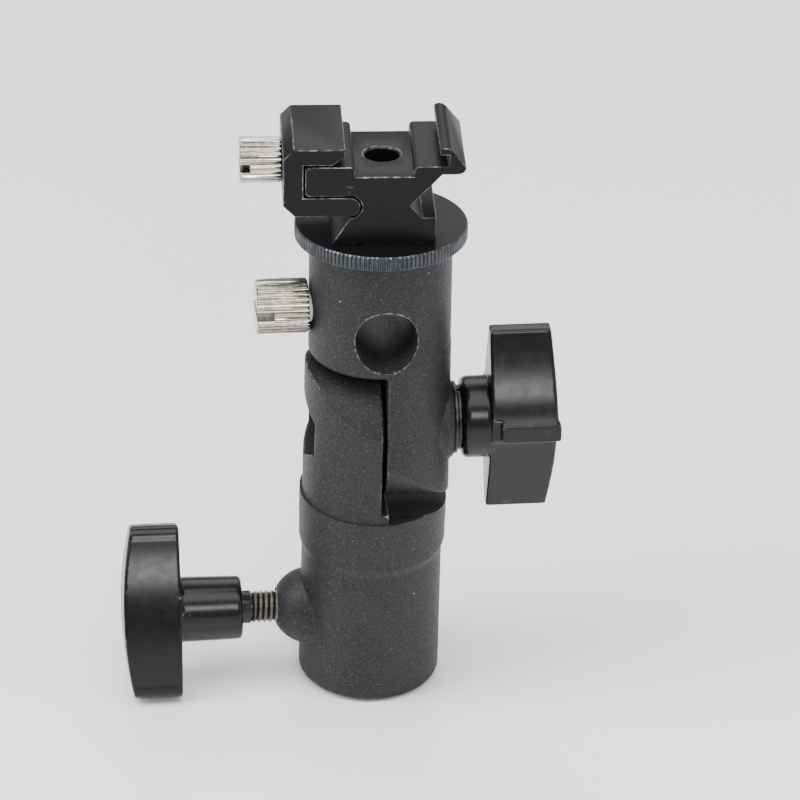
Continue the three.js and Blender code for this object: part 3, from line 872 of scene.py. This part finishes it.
def wing_knob():
    """Wing knob about its bolt: two wedge wings over a round hub, moulded in one."""
    start, end = 20.1, 32.8
    crown = lathe(
        [(0, start), (21, start), (21, 30.5), (17.8, 31), (14, 31.4), (8.9, 31.85), (0, 32.1)],
        "x",
    )
    wings = cross(prism(wing_outline(), start, end, "x"), crown)
    # The ridges start a little further along the bolt than the wings' faces, and end beyond them.
    for s in (1, -1):
        low, high = sorted((-12 * s, -7.9 * s)), sorted((-0.9 * s, 3.4 * s))
        wings = cut(wings, box((start - 1, low[0], high[0]), (start + 1.6, low[1], high[1])))
        low, high = sorted((-9.8 * s, -7.4 * s)), sorted((-0.5 * s, 2.8 * s))
        wings = join(wings, box((start + 4, low[0], high[0]), (end - 0.5, low[1], high[1])))
    hub = lathe(
        [
            (0, 15.2),
            (6.2, 15.2),
            (6.95, 15.5),
            (7.35, 16.2),
            (7.35, start + 1),
            (0, start + 1),
        ],
        "x",
    )
    knob = soften(join(wings, hub), 0.2, 24)
    cut(knob, rod(4.3, 14, 27.1, "x", segments=64))  # the insert's hole
    mark_edges(knob)
    return knob


def washer(outer, inner, low, high, split=None):
    """A flat ring on the bolt, its edges broken, with a gap when it is a split one."""
    ring = cut(rod(outer, low, high, "x"), rod(inner, low - 1, high + 1, "x"))
    if split:
        ring = cut(ring, box((low - 1, -split / 2, 0), (high + 1, split / 2, outer + 1)))
    return chamfer(ring, 0.12)


finish_piece(wing_knob(), "moulded_wing_knob", WING, "wing_knob", "black_plastic", ["wing_knob"])
finish_piece(
    washer(6.5, M6_HOLE, 13.8, 14.4),
    "flat_washer",
    PIVOT,
    "washers",
    "black_steel",
    ["pivot_washer"],
    SHARP_WASHER,
)
finish_piece(
    washer(5.8, M6_HOLE, 14.5, 15.1, 0.8),
    "split_washer",
    PIVOT,
    "washers",
    "black_steel",
    ["spring_washer"],
    SHARP_WASHER,
)

# ---------- Stand clamp ----------


def clamp_knob():
    """T-knob about its screw: a bowed bar with a crowned back, on a round hub."""
    start, half = 34.55, 15.8  # the bar's near side along the screw, and half its length
    corner = 2.4
    middle, end = 7.3, 3.3  # half thicknesses; the sides bow out between the ends
    quarter = curve((end - corner, -half), (end, -half), (end, -half + corner), 10)
    side = curve((end, -half + corner), (middle, 0), (end, half - corner), 32)
    last = curve((end, half - corner), (end, half), (end - corner, half), 10)
    right = [(end - corner, -half)] + quarter + side + last
    outline = right + [(-u, -v) for u, v in right]
    face, drop = start + 10.5, 6.8
    crown = [(-start, -31), (-start, 31), (-face + drop, 31)]
    crown += curve((-face + drop, 31), (-face - drop, 0), (-face + drop, -31), 48)
    grip = cross(prism(outline, -face - 2.2, -start, "x"), prism(crown, -12, 12, "y"))
    hub = lathe(
        [
            (0, -start - 1),
            (3.5, -start - 1),
            (3.5, -start),
            (5.95, -start),
            (5.75, -24.1),
            (5.6, -23.65),
            (5.2, -23.45),
            (0, -23.45),
        ],
        "x",
    )
    knob = soften(join(grip, hub), 0.22, 14)
    cut(knob, rod(3.1, -start - 0.1, 0, "x", segments=64))  # the screw's hole
    mark_edges(knob)
    return knob


def clamp_screw():
    """M6 screw: threaded towards the socket, with a plain collar where it leaves the hub."""
    radius = 3
    collar = chamfer(rod(radius, -34.5, -21.8, "x", segments=90), 0.15)
    thread = threaded(radius, 0.5, 1.0, 12.2, "black_steel")
    thread.data.transform(shift(-9.8, 0, 0) @ LEFTWARD)
    paint_vertices(thread, "crest", lambda p: 1 if math.hypot(p.y, p.z) > 2.85 else 0)
    paint_vertices(thread, "root", lambda p: 1 if math.hypot(p.y, p.z) < 2.6 else 0)
    return merge(collar, thread)


finish_piece(clamp_knob(), "moulded_clamp_knob", CLAMP, "clamp_knob", "black_plastic", ["clamp_knob"])
finish_piece(
    clamp_screw(),
    "clamp_screw_thread",
    CLAMP,
    "clamp_knob",
    "black_steel",
    ["clamp_screw"],
    SHARP_TURNED,
)

# ---------- Thumbscrews ----------


def thumbscrew(radius, depth, ridges, length, slot_width, slot_depth, stem_radius, stem_length):
    """A slotted screw along Z: the head from 0 to length, knurled to a depth, and its stem below."""
    head = knurled(radius, depth, ridges, length, "nickel_brass", "nickel_brass", "nickel_brass")
    slot = box((-slot_width / 2, -FAR, length - slot_depth), (slot_width / 2, FAR, length + 1))
    slot.data.materials.append(FINISHES["nickel_brass"])
    head = chamfer(cut(head, slot), 0.06, 1)
    stem = rod(stem_radius, -stem_length, 0.5, "z", segments=48)
    stem.data.materials.append(FINISHES["nickel_brass"])
    return merge(head, stem)


finish_piece(
    thumbscrew(4.85, 0.42, 30, 9.2, 1.8, 3, 3, 5),
    "umbrella_thumbscrew",
    THUMB @ LEFTWARD,
    "umbrella_screw",
    "nickel_brass",
    ["umbrella_screw"],
    SHARP_TURNED,
)
finish_piece(
    thumbscrew(4.05, 0.36, 24, 7.2, 1.4, 1.8, 2, 8.5),
    "jaw_thumbscrew",
    JAW_SCREW @ LEFTWARD,
    "jaw_screw",
    "nickel_brass",
    ["jaw_screw"],
    SHARP_TURNED,
)

# ---------- Lock disc and shoe ----------


def lock_disc():
    """Round nut under the shoe, with a fine straight knurl on its rim."""
    # Its chamfered edges take the paler edge finish: rubbed dye and a painted highlight.
    disc = knurled(15.2, 0.3, 120, 2.7, "knurled_anodised", "black_anodised", "rubbed_and_highlighted_anodised")
    hole = rod(STUD_HOLE, -1, 4, "z", segments=64)
    hole.data.materials.append(FINISHES["black_anodised"])
    return cut(disc, hole)


def shoe_base():
    """Shoe body, an extruded section: recess, right lip, neck and the groove for the jaw."""
    shelf, floor, low = 14.6, 12.74, 13.04
    # The foot, the neck and the lip's underside, then on round anticlockwise.
    outline = [(-9.05, 0), (9.05, 0), (9.05, 4.95), (6.65, 4.95), (4.55, 7.2), (10, low), (12.4, low)]
    outline += curve((12.4, low), (14.1, low), (14.1, 14.44), 8)
    outline += [(11.6, 17.5)] + curve((11.6, 17.5), (11, 18.1), (10.2, 18.1), 6)
    outline += [(9.45, 17.8), (9.45, 16.7), (11.1, 16.7), (11.1, shelf), (6.1, shelf)]
    outline += curve((6.1, shelf), (5.1, shelf), (5.1, 13.6), 8)
    outline += [(5.1, floor), (-5.1, floor), (-5.1, 13.6)]
    outline += curve((-5.1, 13.6), (-5.1, shelf), (-6.1, shelf), 8)
    outline += [(-13.2, shelf), (-13.7, shelf - 0.5), (-13.7, 9.6), (-13.2, 9.1)]
    outline += arc(GROOVE_END, GROOVE_ROUND, 90, -90, 24)
    body = prism(outline, -SHOE_HALF, SHOE_HALF, "y")
    hole = lathe(
        [
            (0, -1),
            (STUD_HOLE, -1),
            (STUD_HOLE, 8.9),
            (3.05, 8.9),
            (3.05, floor - 0.3),
            (3.35, floor),
            (3.35, 20),
            (0, 20),
        ],
        "z",
    )
    screw_hole = rod(JAW_SCREW_HOLE, -18, -8, "x", (0, 0, JAW_SCREW_HEIGHT), 48)
    body = cut(body, hole, screw_hole)
    # Its chamfers take the paler edge finish: rubbed dye and a painted highlight.
    return chamfer(coat(body, "black_anodised", "rubbed_and_highlighted_anodised"), 0.16, finish=1)


def shoe_jaw():
    """Sliding jaw, an extruded section: arm in the groove, wall and hook."""
    low, high = GROOVE_END[1] - ARM_ROUND, GROOVE_END[1] + ARM_ROUND
    hook, top = 14.9, 17.9
    outline = [(-17.5, low + 2), (-15.5, low)]
    outline += arc(GROOVE_END, ARM_ROUND, -90, 90, 24)
    outline += [(-14, high), (-14, hook), (-9, hook), (-6.8, hook + 1.6)]
    outline += [(-6.8, top), (-15.7, top), (-17.5, top - 1.8)]
    body = prism(outline, -SHOE_HALF, SHOE_HALF, "y")
    body = cut(body, rod(JAW_SCREW_HOLE, -20, -13, "x", (0, 0, JAW_SCREW_HEIGHT), 48))
    # Its chamfers take the paler edge finish: rubbed dye and a painted highlight.
    return chamfer(coat(body, "black_anodised", "rubbed_and_highlighted_anodised"), 0.18, finish=1)


finish_piece(
    lock_disc(),
    "knurled_lock_disc",
    LOCK_DISC,
    "lock_disc",
    "black_anodised",
    ["lock_disc"],
    SHARP_KNURL,
)
finish_piece(
    shoe_base(),
    "milled_shoe_base",
    SHOE,
    "shoe",
    "black_anodised",
    ["shoe_base"],
    SHARP_MILLED,
)
finish_piece(
    shoe_jaw(),
    "milled_shoe_jaw",
    SHOE,
    "jaw",
    "black_anodised",
    ["shoe_jaw"],
    SHARP_MILLED,
)

# ---------- Pieces shown as the frame has them ----------

for node, slot in {
    "pivot_bolt": "black_steel",
    "friction_disc": "fibre",
    "wing_knob_insert": "zinc_steel",
    "clamp_pad": "brass",
    "shoe_stud": "black_steel",
    "umbrella_screw_pad": "nylon",
}.items():
    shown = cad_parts[node]
    shown.data.materials.clear()
    shown.data.materials.append(FINISHES[slot])

# ---------- Table, lights and camera ----------

# The socket's rim and the clamp knob's lower end both meet the table, so the bracket leans a little.
TABLE_UP = Vector((-0.027, 0.082, 0.996)).normalized()


def paint_table(tree):
    # Smooth white acrylic sheet: pale, with a soft reflection.
    haze = grain(tree, 400, detail=1)
    return {
        "Base Color": ramp(tree, haze, [(0.35, "#f6f7f8"), (0.65, "#fafafa")]),
        "Roughness": 0.28,
        "IOR": 1.45,
    }


def table_top():
    """A large flat sheet that touches the lowest piece."""
    corners = [o.matrix_world @ v.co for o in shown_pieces() for v in o.data.vertices]
    lowest = min(c.dot(TABLE_UP) for c in corners)
    turned = TABLE_UP.to_track_quat("Z", "Y").to_matrix().to_4x4()
    bm = bmesh.new()
    bmesh.ops.create_grid(bm, x_segments=1, y_segments=1, size=4)
    just_under = 0.00005
    bm.transform(Matrix.Translation(TABLE_UP * (lowest - just_under)) @ turned)
    sheet = keep_mesh(bm, "table_top")
    sheet.data.materials.append(material("white_acrylic_sheet", paint_table))
    sheet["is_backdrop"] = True
    return sheet


def soft_light(name, place, aim, size, power):
    data = bpy.data.lights.new(name, "AREA")
    data.shape = "RECTANGLE"
    data.size, data.size_y = size
    data.energy = power
    lamp = bpy.data.objects.new(name, data)
    lamp.location = place
    lamp.rotation_euler = (Vector(aim) - Vector(place)).to_track_quat("-Z", "Y").to_euler()
    bpy.context.scene.collection.objects.link(lamp)
    return lamp


table_top()
soft_light("overhead_softbox", (0.0, -0.1, 1.1), (0, 0, 0.05), (1.1, 0.9), 13)
soft_light("back_softbox", (0.0, 1.15, 0.85), (0, 0, 0.1), (1.5, 0.7), 7.5)
soft_light("left_softbox", (-0.8, -0.1, 0.75), (0, 0, 0.05), (0.6, 0.8), 12)
soft_light("right_softbox", (0.95, -0.3, 0.55), (0, 0, 0.05), (0.7, 0.9), 5)
soft_light("front_softbox", (0.12, -1.3, 1.0), (0, 0, 0.08), (0.45, 0.35), 8)

world = bpy.data.worlds.new("pale_studio")
world.use_nodes = True
world.node_tree.nodes["Background"].inputs["Color"].default_value = colour("#dcdcdd")
world.node_tree.nodes["Background"].inputs["Strength"].default_value = 0.6
bpy.context.scene.world = world

# A long lens about a metre away, 34 degrees above the table and 7 degrees round to the left.
RISE, ROUND, ROLL = (math.radians(a) for a in (33.68, 7.0, 1.8))
LENS = 247.5
SENSOR = 36.0
DISTANCE = 1.008
ORIGIN_IN_VIEW = (-1.4423, 11.6487)  # the socket's mouth on the sensor, in mm from its middle

# Its rows are the view's rightward, downward and forward directions.
sine, cosine = math.sin(RISE), math.cos(RISE)
looks = Matrix(((1, 0, 0), (0, -sine, -cosine), (0, cosine, -sine)))
looks = Matrix.Rotation(ROLL, 3, "Z") @ looks @ Matrix.Rotation(ROUND, 3, "Z")
offset = Vector((ORIGIN_IN_VIEW[0] / LENS, ORIGIN_IN_VIEW[1] / LENS, 1)) * DISTANCE
lens = bpy.data.cameras.new("long_lens")
lens.lens = LENS
lens.sensor_width = SENSOR
lens.clip_start, lens.clip_end = 0.01, 50
camera = bpy.data.objects.new("camera", lens)
place = Matrix((looks[0], -looks[1], -looks[2])).transposed().to_4x4()
place.translation = -(looks.transposed() @ offset)
camera.matrix_world = place
bpy.context.scene.collection.objects.link(camera)
bpy.context.scene.camera = camera
